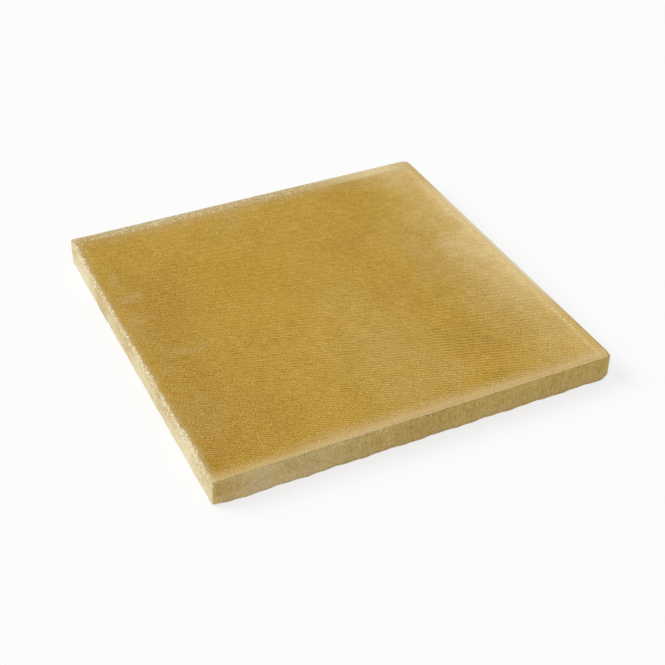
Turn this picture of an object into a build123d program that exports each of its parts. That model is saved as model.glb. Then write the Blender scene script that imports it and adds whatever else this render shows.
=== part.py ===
from build123d import *

import os
from math import atan2, degrees, pi, sin

os.makedirs("parts", exist_ok=True)

# A square concrete paving slab, pressed in a steel mould and lying on its bed face.
# X runs along the front edge, Y away from it and Z up, in millimetres.
# The origin is the middle of the bed face.

# Overall size
length = 450.0  # along X, at the bed face
width = 450.0  # along Y, at the bed face
thickness = 32.0  # bed face to the top of the textured field

# Sides and upright corners, as the mould leaves them
mould_draft = 0.5  # each side leans in by this much between bed face and wearing face
corner_radius = 2.5
face_arris_radius = 1.2  # the eased edge round the wearing face

# Wearing face: a textured field inside a plain margin
margin_width = 9.5  # from the top of the side to the field
field_rise = 0.4  # the pimples' tops stand this far above the margin
field_corner_radius = 2.0
field_slope = 45.0  # degrees that the field's rim leans in

# Lower arris, which breaks away unevenly when the slab leaves the mould
arris_least = 0.3  # how far in from the side the break starts, at its least
arris_most = 1.9  # and at its most
arris_steepness = 1.25  # height of the break over its depth
long_wave = 58.0  # the two waves that the break follows along a side
short_wave = 21.0
long_wave_share = 0.6  # the rest of the variation is the short wave's
arris_section_spacing = 7.0
side_phases = (0.4, 2.1, 3.7, 5.2)  # front, right, back, left

# Corners of the bed face that are knocked off: run along X, run along Y, height
front_right_break = (10.5, 9.0, 8.0)
front_left_break = (26.0, 5.0, 4.5)
back_left_break = (4.5, 6.0, 4.0)
back_right_break = (4.0, 3.0, 3.0)


def pressed_block():
    """The slab's body up to the margin, with drafted sides and an eased upper edge."""
    margin_height = thickness - field_rise
    draft_angle = degrees(atan2(mould_draft, margin_height))
    block = extrude(
        RectangleRounded(length, width, corner_radius),
        amount=margin_height,
        taper=draft_angle,
    )
    wearing_face = block.faces().sort_by(Axis.Z)[-1]
    return fillet(wearing_face.edges(), face_arris_radius)


def textured_field():
    """The raised middle of the wearing face, which holds the pimples."""
    inset = 2 * (mould_draft + margin_width)
    outline = RectangleRounded(length - inset, width - inset, field_corner_radius)
    top = thickness - field_rise
    return extrude(Pos(0, 0, top) * outline, amount=field_rise, taper=field_slope)


def arris_depth(distance, phase):
    """How far in from the side the lower arris is broken, at a distance along that side."""
    long_part = sin(2 * pi * distance / long_wave + phase)
    short_part = sin(2 * pi * distance / short_wave + 2 * phase)
    wave = long_wave_share * long_part + (1 - long_wave_share) * short_part
    return arris_least + (arris_most - arris_least) * (1 + wave) / 2


def broken_arris(side_length, phase):
    """What is missing along one lower edge, which runs along X from the origin with the slab towards +Y."""
    overrun = corner_radius
    spans = round((side_length + 2 * overrun) / arris_section_spacing)
    sections = []
    for index in range(spans + 1):
        distance = -overrun + index * (side_length + 2 * overrun) / spans
        depth = arris_depth(distance, phase)
        height = depth * arris_steepness
        # The slanting side of this triangle is the broken surface, from the bed face to the slab's side.
        triangle = Polygon(
            (2 * depth, -height), (-depth, 2 * height), (-depth, -height), align=None
        )
        sections.append(Plane((distance, 0, 0), x_dir=(0, 1, 0), z_dir=(1, 0, 0)) * triangle)
    return loft(sections)


def break_corner(slab, side_x, side_y, runs):
    """Knocks one corner off the bed face, along the plane that cuts the three edges at the given runs."""
    run_x, run_y, height = runs
    corner = Vector(side_x * length / 2, side_y * width / 2, 0)
    into_slab = (-side_x / run_x, -side_y / run_y, 1 / height)
    broken_face = Plane(corner + Vector(0, 0, height), z_dir=into_slab)
    return split(slab, bisect_by=broken_face, keep=Keep.TOP)


slab = pressed_block() + textured_field()

# Each side starts at a corner and runs anticlockwise, seen from above.
side_starts = (
    (-length / 2, -width / 2, length),
    (length / 2, -width / 2, width),
    (length / 2, width / 2, length),
    (-length / 2, width / 2, width),
)
for index, (start_x, start_y, side_length) in enumerate(side_starts):
    missing = broken_arris(side_length, side_phases[index])
    slab -= Location((start_x, start_y, 0), (0, 0, 90 * index)) * missing

slab = break_corner(slab, 1, -1, front_right_break)
slab = break_corner(slab, -1, -1, front_left_break)
slab = break_corner(slab, -1, 1, back_left_break)
slab = break_corner(slab, 1, 1, back_right_break)

export_step(slab, "parts/paving_slab.step")
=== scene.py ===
import math
from functools import cache

import bmesh
import bpy
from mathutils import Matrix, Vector, noise


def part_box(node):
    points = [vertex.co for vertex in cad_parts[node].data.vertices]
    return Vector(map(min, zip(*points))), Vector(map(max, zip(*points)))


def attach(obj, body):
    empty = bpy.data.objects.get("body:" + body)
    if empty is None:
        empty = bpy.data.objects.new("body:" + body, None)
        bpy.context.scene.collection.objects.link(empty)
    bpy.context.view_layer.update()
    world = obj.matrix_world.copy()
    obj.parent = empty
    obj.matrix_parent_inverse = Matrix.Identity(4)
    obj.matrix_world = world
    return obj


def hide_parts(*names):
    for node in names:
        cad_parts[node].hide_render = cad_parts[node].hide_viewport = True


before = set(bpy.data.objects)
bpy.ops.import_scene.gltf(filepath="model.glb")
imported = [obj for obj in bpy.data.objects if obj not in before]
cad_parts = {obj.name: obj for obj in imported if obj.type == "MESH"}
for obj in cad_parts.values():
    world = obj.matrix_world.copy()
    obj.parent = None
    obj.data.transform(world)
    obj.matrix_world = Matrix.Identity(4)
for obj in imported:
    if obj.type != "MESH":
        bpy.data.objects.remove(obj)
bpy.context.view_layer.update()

# A pressed concrete paving slab, dyed buff, lying on its bed face.
# X runs along the front edge, Y away from it and Z up.
# Sizes are in metres, written as millimetres times mm. The finish works in millimetres.
mm = 0.001
slab_low, slab_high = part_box("paving_slab")
half_length = min(slab_high.x, -slab_low.x)
half_width = min(slab_high.y, -slab_low.y)
top_z = slab_high.z

# The slab's form
mould_draft = 0.5 * mm
margin_width = 9.5 * mm
field_inset = mould_draft + margin_width  # from the bed's outline to the field
field_rise = 0.4 * mm  # from the margin up to the top, which the tallest pimples nearly reach
margin_z = top_z - field_rise

# The pimples stand in staggered rows, as the holes of the press plate do.
# The field's grid has three points for each pimple, in rows along X.
pimple_pitch = 3.12 * mm
column_gap = pimple_pitch / math.sqrt(3)
row_gap = pimple_pitch / 2
field_columns = round(2 * (half_length - field_inset) / column_gap)
field_rows = round(2 * (half_width - field_inset) / row_gap)
first_column_x = -field_columns / 2 * column_gap
first_row_y = -field_rows / 2 * row_gap

# A pimple's height, as shares of the rise: what each one keeps, what its patch adds, and its own part
kept_share = 0.55
patch_share = 0.2
own_share = 0.2
starved_width = 2.5 * mm  # along the field's edge, where the plate's holes didn't fill

# Upright corners, by the signs of their X and Y: the radius that each is worn to,
# and what its wear adds to the radius of the upper edge
corner_radii = {(1, 1): 7 * mm, (1, -1): 4.3 * mm, (-1, -1): 0.8 * mm, (-1, 1): 2 * mm}
corner_wear = {(1, 1): 1.4 * mm, (1, -1): 2.2 * mm, (-1, -1): -0.2 * mm, (-1, 1): -0.2 * mm}
least_corner_radius = 0.2 * mm

# Radius of the upper edge: at its crispest, and what its unevenness and its wear add
crisp_radius = 0.4 * mm
uneven_radius = 0.3 * mm
worn_radius = 0.8 * mm

# The same on the left side, where the whole ends are crisper and bites add most
left_radius = 1.3 * mm
left_end_loss = 0.7 * mm
left_uneven_radius = 0.5 * mm
left_bite_radius = 1.8 * mm

# How deep the hollows of the rough sides go, and the torn ones where the left side has crumbled
broad_hollow = 0.16 * mm
narrow_hollow = 0.2 * mm
torn_hollow = 1.1 * mm

# The lower arris, which breaks away in two waves along each side, and in crumbs
arris_least = 0.3 * mm
arris_most = 1.9 * mm
arris_steepness = 1.25
long_wave = 58 * mm
short_wave = 21 * mm
long_wave_share = 0.6
side_phases = {"front": 0.4, "right": 2.1, "back": 3.7, "left": 5.2}
crumb_depth = 0.7 * mm

# Corners knocked off the bed face: which corner, then the run along X, the run along Y and the height
corner_breaks = (
    (1, -1, 10.5 * mm, 9 * mm, 8 * mm),
    (-1, -1, 26 * mm, 5 * mm, 4.5 * mm),
    (-1, 1, 4.5 * mm, 6 * mm, 4 * mm),
    (1, 1, 4 * mm, 3 * mm, 3 * mm),
)

# Rings of the mesh between the field and the bed face, where the last one lies
margin_rings, arris_rings, side_rings, low_rings = 4, 5, 16, 3
rim_rings = margin_rings + (arris_rings + 1) + side_rings + (low_rings + 1) + 1
bed_ring_inset = 7 * mm


def ease(value, low, high):
    """0 up to low, 1 from high on, and smooth between them."""
    share = min(max((value - low) / (high - low), 0.0), 1.0)
    return share * share * (3 - 2 * share)


def lumps(x, y, z, size, seed):
    """Smooth noise from -1 to 1 whose lumps are about size across."""
    return noise.noise(Vector((x / size + seed, y / size - seed, z / size + 3 * seed)))


def swell(x, y, z, size, seed):
    """The same noise from 0 to 1."""
    return 0.5 + 0.5 * lumps(x, y, z, size, seed)


def pimple_height(x, y):
    """How tall the pimple pressed at this place stands."""
    inside = min(-first_column_x - abs(x), -first_row_y - abs(y))
    filled = ease(inside, 0, starved_width)
    patch = swell(x, y, 0, size=38 * mm, seed=2)
    own = swell(x, y, 0, size=2.4 * mm, seed=5)
    return field_rise * filled * (kept_share + patch_share * patch + own_share * own)


def press_field(mesh):
    """The pimpled field: a staggered grid whose every third point is a pimple's top."""
    bmesh.ops.create_grid(mesh, x_segments=field_columns, y_segments=field_rows, size=0.5)
    for point in mesh.verts:
        column = round((point.co.x + 0.5) * field_columns)
        row = round((point.co.y + 0.5) * field_rows)
        between_ends = 0 < column < field_columns
        stagger = 0.5 * (row % 2) if between_ends else 0
        x = first_column_x + (column + stagger) * column_gap
        y = first_row_y + row * row_gap
        is_top = column % 3 == row % 2 and between_ends and 0 < row < field_rows
        point.co = (x, y, margin_z + (pimple_height(x, y) if is_top else 0))
    bmesh.ops.triangulate(mesh, faces=mesh.faces[:], quad_method="SHORT_EDGE")


def side_at(x, y):
    """The side that a place on the outline belongs to, and how far along it that is, going anticlockwise."""
    outward_and_along = {
        "front": (-y, x + half_length),
        "right": (x, y + half_width),
        "back": (y, half_length - x),
        "left": (-x, half_width - y),
    }
    side = max(outward_and_along, key=lambda name: outward_and_along[name][0])
    return side, outward_and_along[side][1]


def corner_at(x, y):
    """The corner whose quarter of the slab a place lies in."""
    return (1 if x > 0 else -1, 1 if y > 0 else -1)


def arris_radius(x, y):
    """Radius of the worn upper edge at a place on the outline."""
    side, distance = side_at(x, y)
    uneven = swell(x, y, 0, size=14 * mm, seed=8)
    near_corner = ease(min(abs(x), abs(y)), 214 * mm, 224 * mm)
    rounding = near_corner * corner_wear[corner_at(x, y)]
    if side == "left":
        # Bitten all along, apart from its ends
        whole = ease(abs(y), 206 * mm, 218 * mm)
        wide_bites = max(lumps(x, y, 0, size=5 * mm, seed=31), 0)
        narrow_bites = max(lumps(x, y, 0, size=2.6 * mm, seed=37), 0)
        bitten = (wide_bites + 0.6 * narrow_bites) * (1 - whole)
        sound_radius = left_radius - left_end_loss * whole + left_uneven_radius * uneven
        return sound_radius + left_bite_radius * bitten + rounding
    # The front edge grows crisper towards the right, and every edge is crisp next to the left side
    worn = 1 - ease(distance, 130 * mm, 240 * mm) if side == "front" else 0.5
    worn *= 1 - ease(-x, 200 * mm, 220 * mm)
    return crisp_radius + uneven_radius * uneven + worn_radius * worn + rounding


def arris_break(x, y):
    """How far in the ragged lower edge is broken at a place on the outline."""
    side, distance = side_at(x, y)
    phase = side_phases[side]
    long_part = math.sin(2 * math.pi * distance / long_wave + phase)
    short_part = math.sin(2 * math.pi * distance / short_wave + 2 * phase)
    wave = long_wave_share * long_part + (1 - long_wave_share) * short_part
    crumbs = crumb_depth * swell(x, y, 0, size=4 * mm, seed=13)
    return arris_least + (arris_most - arris_least) * (1 + wave) / 2 + crumbs


def side_hollow(x, y, z):
    """How far the rough side falls short of the mould's flat wall. The top of the left side has crumbled."""
    broad = swell(x, y, z, size=11 * mm, seed=17)
    narrow = swell(x, y, z, size=4.5 * mm, seed=19)
    torn = swell(x, y, z, size=3.6 * mm, seed=43)
    on_left = ease(-x, half_length - 2 * mm, half_length)
    near_top = ease(z, margin_z - 15 * mm, margin_z - 5 * mm)
    short_of_back = 1 - ease(y, 204 * mm, 216 * mm)
    crumbled = on_left * near_top * short_of_back
    return broad_hollow * broad + narrow_hollow * narrow + torn_hollow * torn * crumbled


def outline_point(station, inset):
    """A station of the field's edge carried out to the slab's rounded outline, less the inset."""
    radius = max(corner_radii[corner_at(station.x, station.y)] - inset, least_corner_radius)
    x = station.x * (half_length - inset)
    y = station.y * (half_width - inset)
    core_x = half_length - inset - radius
    core_y = half_width - inset - radius
    core = Vector((min(max(x, -core_x), core_x), min(max(y, -core_y), core_y), 0))
    outward = (Vector((x, y, 0)) - core).normalized()
    return core + outward * radius


@cache
def rim_profile(x, y):
    """The slab's section at a place on its outline, as (inset, height), from the field's edge to the bed."""
    radius = arris_radius(x, y)
    depth = arris_break(x, y)
    arris_inset = mould_draft + radius
    profile = []
    for ring in range(1, margin_rings + 1):
        inset = arris_inset + (field_inset - arris_inset) * (1 - ring / (margin_rings + 1))
        profile.append((inset, margin_z))
    for ring in range(arris_rings + 1):
        turn = math.pi / 2 * ring / arris_rings
        inset = mould_draft + radius * (1 - math.sin(turn))
        profile.append((inset, margin_z - radius * (1 - math.cos(turn))))
    side_top = margin_z - radius
    side_low = depth * arris_steepness
    for ring in range(1, side_rings + 1):
        z = side_top - (side_top - side_low) * ring / (side_rings + 1)
        profile.append((mould_draft * z / margin_z + side_hollow(x, y, z), z))
    for ring in range(low_rings + 1):
        share = ring / low_rings
        profile.append((depth * share, side_low * (1 - share)))
    profile.append((bed_ring_inset, 0.0))
    return profile


def carry_rim(mesh):
    """Carries the field's edge out over the margin, down the sides and onto the bed, ring by ring."""
    station = mesh.verts.layers.float_vector.new("station")
    edge = [e for e in mesh.edges if e.is_boundary]
    for point in {p for e in edge for p in e.verts}:
        point[station] = (-point.co.x / first_column_x, -point.co.y / first_row_y, 0)
    for ring in range(rim_rings):
        made = bmesh.ops.extrude_edge_only(mesh, edges=edge)["geom"]
        points = [g for g in made if isinstance(g, bmesh.types.BMVert)]
        edge = [g for g in made if isinstance(g, bmesh.types.BMEdge) and g.is_boundary]
        for point in points:
            on_rim = point[station]
            inset, z = rim_profile(on_rim.x * half_length, on_rim.y * half_width)[ring]
            point.co = outline_point(on_rim, inset) + Vector((0, 0, z))
    bmesh.ops.holes_fill(mesh, edges=edge)


def knock_corners(mesh):
    """Brings what lies outside the broken corners in to their slanting planes."""
    for side_x, side_y, run_x, run_y, height in corner_breaks:
        into_slab = Vector((-side_x / run_x, -side_y / run_y, 1 / height))
        for point in mesh.verts:
            x_share = (half_length - side_x * point.co.x) / run_x
            y_share = (half_width - side_y * point.co.y) / run_y
            missing = 1 - x_share - y_share - point.co.z / height
            if missing > 0:
                point.co += into_slab * (missing / into_slab.length_squared)


def slab_mesh():
    """The whole slab, closed."""
    mesh = bmesh.new()
    press_field(mesh)
    carry_rim(mesh)
    knock_corners(mesh)
    bmesh.ops.triangulate(mesh, faces=mesh.faces[:])
    bmesh.ops.recalc_face_normals(mesh, faces=mesh.faces[:])
    return mesh


def add_piece(name, mesh, material):
    """Puts a finished mesh into the scene as an object of one material."""
    data = bpy.data.meshes.new(name)
    mesh.to_mesh(data)
    mesh.free()
    data.materials.append(material)
    piece = bpy.data.objects.new(name, data)
    bpy.context.scene.collection.objects.link(piece)
    return piece


def new_material(name):
    """A material, with the tree of its nodes and its shader."""
    material = bpy.data.materials.new(name)
    material.use_nodes = True
    tree = material.node_tree
    return material, tree, tree.nodes["Principled BSDF"]


class Wire:
    """A socket of a finish's nodes. Sums of wires and numbers add the Math nodes that work them out."""

    def __init__(self, tree, socket=None):
        self.tree = tree
        self.socket = socket

    def node(self, kind, settings=None, values=None, output=0):
        """Adds a node. Its settings come first, then the values or wires of its inputs, by name or number."""
        made = self.tree.nodes.new("ShaderNode" + kind)
        for name, setting in (settings or {}).items():
            setattr(made, name, setting)
        for name, value in (values or {}).items():
            if isinstance(value, Wire):
                self.tree.links.new(value.socket, made.inputs[name])
            else:
                made.inputs[name].default_value = value
        return Wire(self.tree, made.outputs[output])

    def also(self, output):
        """Another output of the same node."""
        return Wire(self.tree, self.socket.node.outputs[output])

    def into(self, socket):
        self.tree.links.new(self.socket, socket)

    def maths(self, operation, *values):
        """A Math node on wires and numbers."""
        return self.node("Math", {"operation": operation}, dict(enumerate(values)))

    def __add__(self, other):
        return self.maths("ADD", self, other)

    def __sub__(self, other):
        return self.maths("SUBTRACT", self, other)

    def __mul__(self, other):
        return self.maths("MULTIPLY", self, other)

    def __radd__(self, other):
        return self.maths("ADD", other, self)

    def __rsub__(self, other):
        return self.maths("SUBTRACT", other, self)

    def __rmul__(self, other):
        return self.maths("MULTIPLY", other, self)

    def smaller(self, other):
        return self.maths("MINIMUM", self, other)

    def larger(self, other):
        return self.maths("MAXIMUM", self, other)

    def cosine(self):
        return self.maths("COSINE", self)

    def absolute(self):
        return self.maths("ABSOLUTE", self)

    def eased(self, low, high):
        """0 up to low, 1 from high on, and smooth between them. With low above high it falls instead."""
        if low > high:
            return 1 - self.eased(high, low)
        ends = {"Value": self, "From Min": low, "From Max": high}
        return self.node("MapRange", {"interpolation_type": "SMOOTHSTEP"}, ends)

    def vector(self, operation, second, output=0):
        return self.node("VectorMath", {"operation": operation}, {0: self, 1: second}, output)

    def grain(self, size, detail=2.0, rough=0.5, stretch=(1, 1, 1), shift=0.0, output=0):
        """Noise from 0 to 1 over a place in millimetres, with lumps of about size, drawn out by stretch."""
        scale = tuple(1 / s for s in stretch)
        moved = (shift, 2 * shift, -shift)
        placed = self.node("Mapping", {}, {"Vector": self, "Scale": scale, "Location": moved})
        look = {"Vector": placed, "Scale": 1 / size, "Detail": detail, "Roughness": rough}
        return placed.node("TexNoise", {}, look, output)

    def swing(self, size, detail=2.0, rough=0.5, stretch=(1, 1, 1), shift=0.0):
        """The same noise from about -1 to 1."""
        return (self.grain(size, detail, rough, stretch, shift) - 0.5) * 4


def srgb(red, green, blue):
    """A colour as a paint chart gives it, out of 255, in the linear light that the shader works in."""
    parts = []
    for part in (red, green, blue):
        share = part / 255
        parts.append(share / 12.92 if share <= 0.04045 else ((share + 0.055) / 1.055) ** 2.4)
    return (*parts, 1.0)


# The Mix node's sockets for colours, which share their names with its other ones
mix_mask, mix_under, mix_over, mix_result = 0, 6, 7, 2


def coat(mask, under, over):
    """A colour over another, where the mask is 1."""
    colours = {mix_mask: mask, mix_under: under, mix_over: over}
    return mask.node("Mix", {"data_type": "RGBA", "clamp_factor": True}, colours, mix_result)


def coats(colour, layers):
    """A colour under layers, which come from the lowest up, each as its mask and its colour out of 255."""
    for mask, paint in layers:
        colour = coat(mask, colour, srgb(*paint))
    return colour


# What one step out of 255 adds to a buff colour's linear red, green and blue
buff_step = (0.0059, 0.0046, 0.0019)


def shaded(colour, steps):
    """A buff colour made lighter or darker by a wire's number of steps."""
    return colour.vector("ADD", steps.vector("MULTIPLY", buff_step))


def cloud_cover(flat, clouds):
    """How far soft-edged clouds cover a place on the face."""
    cover = None
    for x, y, reach_x, reach_y, strength in clouds:
        off = flat.vector("SUBTRACT", (x, y, 0)).vector("DIVIDE", (reach_x, reach_y, 1))
        here = off.vector("LENGTH", (0, 0, 0), "Value").eased(1.0, 0.0) * strength
        cover = here if cover is None else cover + here
    return cover


# Clouds on the slab, in millimetres: the middle's X and Y, the reach along X and Y, and the strength
golden_clouds = (
    (-90, 80, 150, 140, 0.5),
    (-60, -20, 70, 40, 0.3),
    (90, 140, 50, 70, 0.4),
)
brown_clouds = (
    (105, -140, 60, 60, 0.45),
    (100, -203, 34, 18, 0.4),
    (-170, -150, 130, 130, 0.5),
    (-205, -190, 60, 60, 0.4),
    (-185, 30, 75, 200, 0.6),
    (-160, 90, 60, 80, 0.3),
    (-200, -80, 50, 150, 0.25),
    (75, -30, 60, 70, 0.35),
    (75, 90, 60, 70, 0.35),
    (110, 185, 50, 40, 0.3),
)
sandy_clouds = (
    (15, -110, 100, 110, 0.5),
    (0, -190, 70, 50, 0.4),
    (5, -15, 55, 55, 0.15),
)
dusty_clouds = (
    (56, -180, 26, 34, 0.4),
    (5, -15, 55, 55, 0.2),
    (-172, -24, 44, 16, 0.5),
    (-208, 138, 18, 18, 0.5),
    (-203, 94, 24, 16, 0.6),
    (-205, 43, 22, 14, 0.6),
    (-200, -50, 26, 16, 0.4),
    (-210, 100, 26, 90, 0.2),
    (-212, 20, 30, 70, 0.25),
    (-205, -120, 40, 60, 0.2),
    (-45, 185, 60, 26, 0.3),
    (140, 60, 60, 120, 0.3),
    (150, -30, 50, 110, 0.4),
    (160, -100, 40, 90, 0.4),
)
pale_clouds = (
    (195, 10, 50, 70, 0.5),
    (200, -60, 40, 70, 0.3),
    (190, 200, 60, 40, 0.3),
    (165, -185, 60, 30, 0.1),
)

# Where the sides are paler than elsewhere, and where duller
bleached_sides = (
    (-225, 175, 30, 50, 0.5),
    (-225, -20, 30, 50, 0.3),
    (-225, -150, 30, 60, 0.55),
    (-120, -225, 100, 30, 0.2),
    (-180, -225, 40, 12, 0.25),
    (-229, -218, 10, 20, 0.4),
)
dull_sides = (
    (-225, 112, 30, 34, 0.5),
    (-225, -75, 30, 34, 0.2),
    (-225, 25, 30, 45, 0.25),
    (-212, -225, 22, 12, 0.3),
    (0, -225, 60, 30, 0.2),
    (150, -225, 100, 30, 0.1),
)

# Where the rows of pimples stand out more, in relief and in their painted light and shade, and where they are
# rubbed away
crisp_clouds = (
    (130, -150, 190, 110, 0.8),
    (190, 160, 70, 70, 0.6),
)
rubbed_clouds = (
    (-170, -150, 130, 120, 0.5),
    (-170, 0, 90, 120, 0.3),
    (0, 180, 120, 60, 0.2),
    (150, 0, 80, 60, 0.3),
)

# Where the lighter and darker streaks along the rows are stronger, and where weaker
lined_clouds = (
    (20, -60, 230, 90, 1.0),
    (215, 0, 60, 170, 1.3),
    (-190, -190, 130, 110, -0.6),
    (-190, 0, 60, 130, -0.3),
)

# Where crumbs are left along the field's edge
gritty_clouds = (
    (215, -130, 30, 120, 1.0),
    (215, 40, 30, 130, 0.6),
    (-215, 190, 30, 50, 0.5),
)


class Surface:
    """Wires that tell where a point of the surface is, in millimetres, and the noises that finishes share."""

    def __init__(self, tree):
        self.place = Wire(tree).node("TexCoord", output="Object").vector("MULTIPLY", (1 / mm, 1 / mm, 1 / mm))
        self.flat = self.place.vector("MULTIPLY", (1, 1, 0))
        self.x = self.place.node("SeparateXYZ", {}, {0: self.place})
        self.y = self.x.also("Y")
        self.depth = margin_z / mm - self.x.also("Z")
        half_x, half_y = half_length / mm, half_width / mm
        self.from_left, self.from_right = self.x + half_x, half_x - self.x
        self.from_front, self.from_back = self.y + half_y, half_y - self.y

        # How far inside the field's edge
        from_sides = self.from_left.smaller(self.from_right)
        from_ends = self.from_front.smaller(self.from_back)
        self.inside = from_sides.smaller(from_ends) - field_inset / mm
        self.in_field = self.inside.eased(-0.5, 1.5) * self.depth.eased(1.2, 0.4)

        # Wanderings that keep the borders between colours from running straight
        self.wander = self.flat.swing(30, 3, 0.6, shift=4)
        self.ragged = self.place.swing(5, 3, 0.65, shift=7)

        # Distance from the left edge, whose wear runs in scallops and reaches farther in near its ends
        scallops = self.place.swing(11, 2, 0.5, shift=83)
        left_edge = self.from_left + self.ragged * 1.2 + scallops * 1.6 + self.wander * 1.2
        self.left_reach = left_edge + 0.4 - self.y.absolute().eased(130, 190) * 1.7

        # Noises whose peaks are crumbs and holes
        self.crumbs = self.place.grain(3.4, 3, 0.75, shift=51)
        self.holes = self.place.grain(3.2, 3, 0.75, shift=57)


def press_rows(at):
    """Waves for the pimples' rows in three directions, in step with the mesh. One direction stands out. They
    are the relief's height, and painted light and shade of the pimples in the colour.
    """
    turn = 4 * math.pi / (math.sqrt(3) * pimple_pitch / mm)
    across = (at.x - first_column_x / mm) * turn
    along = (at.y - first_row_y / mm) * (turn * math.sqrt(3) / 2)
    slip = at.flat.swing(16, 2, 0.6, shift=21) * 0.5
    strong_rows = (across * 0.5 + along + slip).cosine() * 0.7
    weak_rows = (across + slip).cosine() + (across * 0.5 - along + slip).cosine()
    dotted = 0.06 + at.y.eased(80, -100) * 0.13
    worn = at.flat.grain(26, 3, 0.6).eased(0.34, 0.66)
    uneven = at.flat.grain(8, 2, 0.6, shift=23).eased(0.3, 0.7)
    kept = 1 + cloud_cover(at.flat, crisp_clouds) - cloud_cover(at.flat, rubbed_clouds)
    return (strong_rows + weak_rows * dotted) * (0.8 - worn * 0.4 + uneven * 0.8) * kept * at.in_field


def ground_layers(at):
    """The face's own colours, in clouds whose borders drift."""
    patch = at.flat.grain(60, 2, 0.5, shift=11).eased(0.4, 0.6)
    mottle = at.flat.grain(10, 4, 0.65, shift=5).eased(0.5, 0.8)
    drift = at.flat.grain(40, 2, 0.5, output="Color").vector("SUBTRACT", (0.5, 0.5, 0.5))
    drifting = at.flat.vector("ADD", drift.vector("MULTIPLY", (90, 90, 0)))
    return (
        (patch, (188, 150, 62)),
        (cloud_cover(drifting, golden_clouds), (183, 144, 46)),
        (cloud_cover(drifting, brown_clouds), (171, 133, 54)),
        (cloud_cover(drifting, sandy_clouds), (193, 158, 88)),
        (cloud_cover(drifting, dusty_clouds), (188, 156, 92)),
        (cloud_cover(drifting, pale_clouds), (218, 194, 146)),
        (mottle * 0.1, (206, 174, 108)),
    )


def right_bloom(at):
    """Bloom that spreads in from the right edge, with a pale line where the field ends."""
    along_middle = at.y.eased(-150, -40) * at.y.eased(200, 120)
    far = (at.from_right + at.wander * 18).eased(90, 15) * (0.3 + at.y.eased(-200, -100) * 0.1)
    near = (at.from_right + at.wander * 6).eased(30, 8) * (0.1 + along_middle * 0.32)
    field_end = (at.from_right + at.wander * 1.5 + at.ragged * 1.2 - 12).absolute().eased(4, 0.5)
    return (
        (far + near, (222, 196, 138)),
        (field_end * 0.28, (236, 206, 148)),
    )


def front_bloom(at):
    """Bloom along the front edge, browner at its left end, and a duller line in the right half."""
    reach = at.from_front + at.wander * 2 + at.ragged * 0.8
    past_left_end = at.x.eased(-190, -90)
    dull_line = (at.from_front - 3.4).absolute().eased(1.8, 0.4) * at.x.eased(-80, 0)
    return (
        (reach.eased(25, 7) * past_left_end * 0.4, (208, 182, 138)),
        (reach.eased(17, 9) * at.x.eased(-130, -190) * 0.5, (202, 170, 106)),
        ((reach - past_left_end * 2).eased(11, 0) * 0.75, (206, 179, 124)),
        (dull_line * 0.5, (184, 157, 98)),
    )


def back_bloom(at):
    """Bloom along the back edge, in a wide, a narrow and a close band, and paler towards the right."""
    left_end = at.x.eased(-120, -220) * 3 + at.x.eased(-110, -60)
    reach = at.from_back + at.wander * 2 + at.ragged * 1.2 + left_end
    near_ends = at.x.absolute().eased(50, 110) * at.x.eased(210, 190)
    towards_right = at.x.eased(70, 170) * (1 - at.x.eased(185, 212) * 0.8)
    pale_right = (at.from_back + at.ragged * 1.5).eased(20, 13) * towards_right
    return (
        (reach.eased(40, 0) * 0.4, (193, 177, 140)),
        (reach.eased(16.5, 15) * (0.24 - at.x.eased(-60, 40) * 0.1), (199, 182, 142)),
        (reach.eased(10, 4) * (0.3 + near_ends * 0.25), (200, 187, 152)),
        (pale_right * 0.65, (226, 207, 158)),
    )


def right_rim(at):
    """The margin and arris on the right: pale along the middle, bare and duller towards the corners."""
    rim = at.from_right + at.ragged * 0.5
    pale_margin = at.from_right.eased(10, 4) * at.y.eased(-150, -80) * at.y.eased(180, 140)
    bare_rim = rim.eased(5, 1) * (1 - at.y.eased(-130, -90) * at.y.eased(150, 110))
    pale_rim = rim.eased(5.5, 2) * at.y.eased(-130, -80) * at.y.eased(150, 110)
    back_corner = at.from_right.eased(14, 4) * at.y.eased(130, 190)
    front_corner = at.from_right.eased(3.4, 1.8) * at.y.eased(-120, -170)
    return (
        (pale_margin * 0.5, (212, 196, 156)),
        (bare_rim * 0.5, (190, 170, 118)),
        (pale_rim * 0.6, (229, 216, 186)),
        (back_corner * 0.45, (194, 171, 116)),
        (front_corner * 0.6, (164, 146, 94)),
    )


def left_and_front_rim(at):
    """The pale margin and arris on the left, and a painted highlight along the arris in the right half of the
    front.
    """
    # A painted highlight along the front arris in its right half, where the arris catches the light
    front_arris_highlight = (at.from_front - 1.2).absolute().eased(0.9, 0.3) * at.x.eased(-60, 60)
    return (
        (at.left_reach.eased(9, 1) * 0.55, (194, 175, 136)),
        (at.left_reach.eased(3, 1.4) * 0.65, (210, 190, 140)),
        (front_arris_highlight * 0.3, (226, 200, 144)),
    )


def face_colour(at):
    """The face, from its ground colour up to the bloom that thickens towards each edge."""
    bloom = right_bloom(at) + front_bloom(at) + back_bloom(at)
    rims = right_rim(at) + left_and_front_rim(at)
    return coats(srgb(183, 146, 57), ground_layers(at) + bloom + rims)


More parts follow.
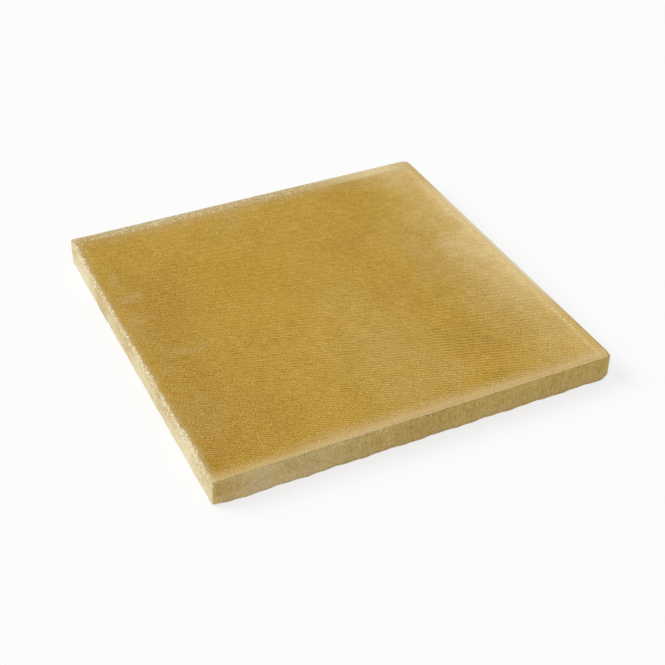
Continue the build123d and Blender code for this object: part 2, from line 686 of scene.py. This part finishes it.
def side_colour(at):
    """The sandy sides: layered and bleached on the left, duller and run down with streaks at the front, with
    painted light along the front's foot and a painted highlight down its right end.
    """
    mottle = at.place.swing(24, 3, 0.6, shift=9) * 0.35 + at.place.swing(5, 4, 0.7, shift=33) * 0.5 + 0.5
    on_left = at.from_left.eased(3, 1.5)

    layered = at.place.swing(2.6, 4, 0.65, stretch=(12, 12, 1), shift=3) * (0.15 + on_left * 0.45)
    dull_line = (at.depth + at.ragged * 0.8 - 11).absolute().eased(3, 0.5) * on_left
    pale_foot = at.depth.eased(12, 24) * (0.3 + at.y.eased(150, 180) * 0.4)
    side = coat(layered + mottle, srgb(187, 165, 114), srgb(216, 203, 164))
    side = coats(side, (
        (dull_line * 0.35, (168, 146, 98)),
        (pale_foot, (220, 208, 176)),
    ))

    run_down = at.place.swing(3.5, 4, 0.7, stretch=(1, 1, 6), shift=13) * 0.45
    # Painted light along the foot of the front, which lifts the shade near the floor
    painted_foot_light = at.depth.eased(14, 27) * (0.45 + at.x.eased(-90, -150) * 0.5)
    # A painted highlight down the rounded right end of the front
    painted_corner_highlight = at.from_right.eased(5, 1.5)
    front = coat(run_down + mottle, srgb(187, 156, 82), srgb(216, 187, 114))
    front = coats(front, (
        (painted_foot_light, (228, 199, 140)),
        (painted_corner_highlight * 0.5, (220, 198, 144)),
    ))

    return coats(coat(at.from_front.eased(2.2, 0.8), side, front), (
        (cloud_cover(at.flat, bleached_sides), (222, 211, 180)),
        (cloud_cover(at.flat, dull_sides), (180, 150, 88)),
    ))


def crumbled_left(at):
    """How far the left edge has crumbled: all along, and less at its front end."""
    down_side = (at.depth + at.ragged * 2).eased(20, 6)
    return at.left_reach.eased(3.6, 1.6) * down_side * (1 - at.y.eased(-160, -210) * 0.4)


def crumbled_back(at):
    """How far the back edge has crumbled: from the left corner to past the middle."""
    on_margin = (at.from_back + at.wander * 2 + at.ragged * 1.5).eased(16, 13)
    return on_margin * at.x.eased(150, 60) * (at.depth + at.ragged * 2).eased(9, 3)


def crumbled_front(at):
    """How far the front edge has crumbled: from the left corner to past the middle."""
    return at.from_front.eased(2, 1) * at.depth.eased(7, 3) * at.x.eased(120, -30)


def spotted_band(at):
    """Dark and pale spots in a band just under the front arris, from near the left corner to past the middle.
    """
    band = (at.depth + at.ragged * 1.2 - 2.6).absolute().eased(2.6, 0.8) * at.from_front.eased(2, 1)
    band = band * at.x.eased(100, 30) * at.x.eased(-180, -130)
    spots = at.place.grain(2.4, 3, 0.7, shift=91)
    return (
        (spots.eased(0.56, 0.62) * band * 0.7, (132, 108, 66)),
        (spots.eased(0.44, 0.38) * band * 0.5, (224, 203, 152)),
    )


def gritty_field_edge(at):
    """Pale crumbs and dark holes in a line along the field's edge."""
    line = (at.inside + at.ragged * 0.7 - 0.5).absolute().eased(2.2, 0.4)
    line = line * cloud_cover(at.flat, gritty_clouds)
    return (
        (at.crumbs.eased(0.5, 0.58) * line * 0.9, (240, 220, 168)),
        (at.holes.eased(0.52, 0.6) * line * 0.6, (156, 126, 66)),
    )


def specks(at):
    """Pale flecks and pinholes anywhere."""
    flecks = at.place.grain(2.2, 1, 0.5, shift=61).eased(0.72, 0.8)
    pinholes = at.place.grain(2.0, 1, 0.5, shift=67).eased(0.74, 0.8)
    return (
        (flecks * 0.5, (224, 200, 144)),
        (pinholes * 0.6, (122, 96, 46)),
    )


def concrete_finish():
    """Buff concrete: the pimpled face, sandy sides and the crumbled edges between them."""
    material, tree, shader = new_material("buff_concrete")
    at = Surface(tree)
    colour = coat(at.depth.eased(0.4, 1.0), face_colour(at), side_colour(at))

    back_edge = crumbled_back(at)
    crumbled = crumbled_left(at).larger(back_edge * 0.45).larger(crumbled_front(at) * 0.3)
    colour = coats(colour, (
        (at.crumbs.eased(0.52, 0.58) * crumbled * 0.9, (240, 229, 194)),
        (at.holes.eased(0.56, 0.62) * crumbled * 0.9, (158, 128, 76)),
    ))
    colour = shaded(colour, at.place.swing(2.4, 2, 0.7, shift=71) * back_edge * 22)
    colour = coats(colour, spotted_band(at) + gritty_field_edge(at) + specks(at))

    # The rows, whose colour paints the pimples' light and shade, strongest along one direction; streaks along
    # the strongest of them; and the grain of the sand
    rows = press_rows(at)
    turned = at.flat.node("Mapping", {}, {"Vector": at.flat, "Rotation": (0, 0, math.radians(-60))})
    lines = turned.swing(2.0, detail=0, stretch=(1, 6.5, 1)) * at.in_field
    streak_strength = 5.5 + cloud_cover(at.flat, lined_clouds) * 3.4
    fine = at.place.swing(1.2, 1, 0.6, stretch=(1, 1, 2))
    grit = at.place.swing(2.8, 3, 0.65, shift=17)
    sand = fine * (27 + at.in_field * 4) + grit * 1.5
    # The rows' part of the colour is painted light and shade of the pimples
    shaded(colour, rows * 22 + lines * streak_strength + sand).into(shader.inputs["Base Color"])
    shader.inputs["Roughness"].default_value = 0.9
    shader.inputs["Specular IOR Level"].default_value = 0.25

    # The relief of the same things, in millimetres
    sand_relief = (fine * 0.06 + grit * 0.1) * (1 - at.in_field * 0.2)
    crumb_relief = (at.crumbs - at.holes) * crumbled * 0.45
    relief = rows * 0.12 + sand_relief + crumb_relief
    bump = relief.node("Bump", {}, {"Height": relief, "Strength": 1.0, "Distance": mm})
    bump.into(shader.inputs["Normal"])
    return material


slab = add_piece("pressed_slab", slab_mesh(), concrete_finish())
slab.data.shade_smooth()
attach(slab, "root")
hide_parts("paving_slab")


def pale_floor():
    """A pale floor that holds the slab's shadow and that the camera sees near white."""
    material, tree, shader = new_material("pale_floor")
    shader.inputs["Base Color"].default_value = (0.9, 0.9, 0.9, 1)
    shader.inputs["Roughness"].default_value = 0.9
    shader.inputs["Specular IOR Level"].default_value = 0.0
    seen = Wire(tree).node("LightPath", output="Is Camera Ray")
    white = seen.node("Emission", {}, {"Color": (1, 1, 1, 1), "Strength": 1.0})
    lifted = seen.node("MixShader", {}, {0: seen * 0.75, 1: Wire(tree, shader.outputs[0]), 2: white})
    lifted.into(tree.nodes["Material Output"].inputs["Surface"])
    return material


floor_reach = 4000 * mm
floor_mesh = bmesh.new()
bmesh.ops.create_grid(floor_mesh, x_segments=1, y_segments=1, size=floor_reach)
floor = add_piece("floor", floor_mesh, pale_floor())

# Camera, where the photograph was taken from
camera_data = bpy.data.cameras.new("camera")
camera_data.lens = 68.38
camera_data.sensor_width = 36.0
camera = bpy.data.objects.new("camera", camera_data)
camera.location = (-502.3 * mm, -1021.99 * mm, 818.16 * mm + top_z)
camera.rotation_euler = [math.radians(turn) for turn in (52.5507, -0.7894, -25.9791)]
bpy.context.scene.collection.objects.link(camera)
bpy.context.scene.camera = camera


def studio_world():
    """Even light from all round, which the camera, glass and metal see as white."""
    world = bpy.data.worlds.new("studio")
    bpy.context.scene.world = world
    world.use_nodes = True
    tree = world.node_tree
    seen = Wire(tree).node("LightPath", output="Is Camera Ray")
    white = seen.larger(seen.also("Is Glossy Ray")).larger(seen.also("Is Transmission Ray"))
    background = tree.nodes["Background"]
    background.inputs["Color"].default_value = (1, 1, 1, 1)
    (white * 0.45 + 0.55).into(background.inputs["Strength"])


def broad_lamp(name, azimuth, height, strength, spread):
    """An even light from far off. Where it stands and how far its rays spread are in degrees."""
    data = bpy.data.lights.new(name, "SUN")
    data.energy = strength
    data.angle = math.radians(spread)
    lamp = bpy.data.objects.new(name, data)
    flat_way = math.cos(math.radians(height))
    towards = Vector((
        flat_way * math.cos(math.radians(azimuth)),
        flat_way * math.sin(math.radians(azimuth)),
        math.sin(math.radians(height)),
    ))
    lamp.location = towards * 2
    lamp.rotation_euler = towards.to_track_quat("Z", "Y").to_euler()
    bpy.context.scene.collection.objects.link(lamp)


studio_world()
broad_lamp("key", azimuth=148, height=40, strength=2.2, spread=35)

bpy.context.scene.view_settings.view_transform = "Standard"
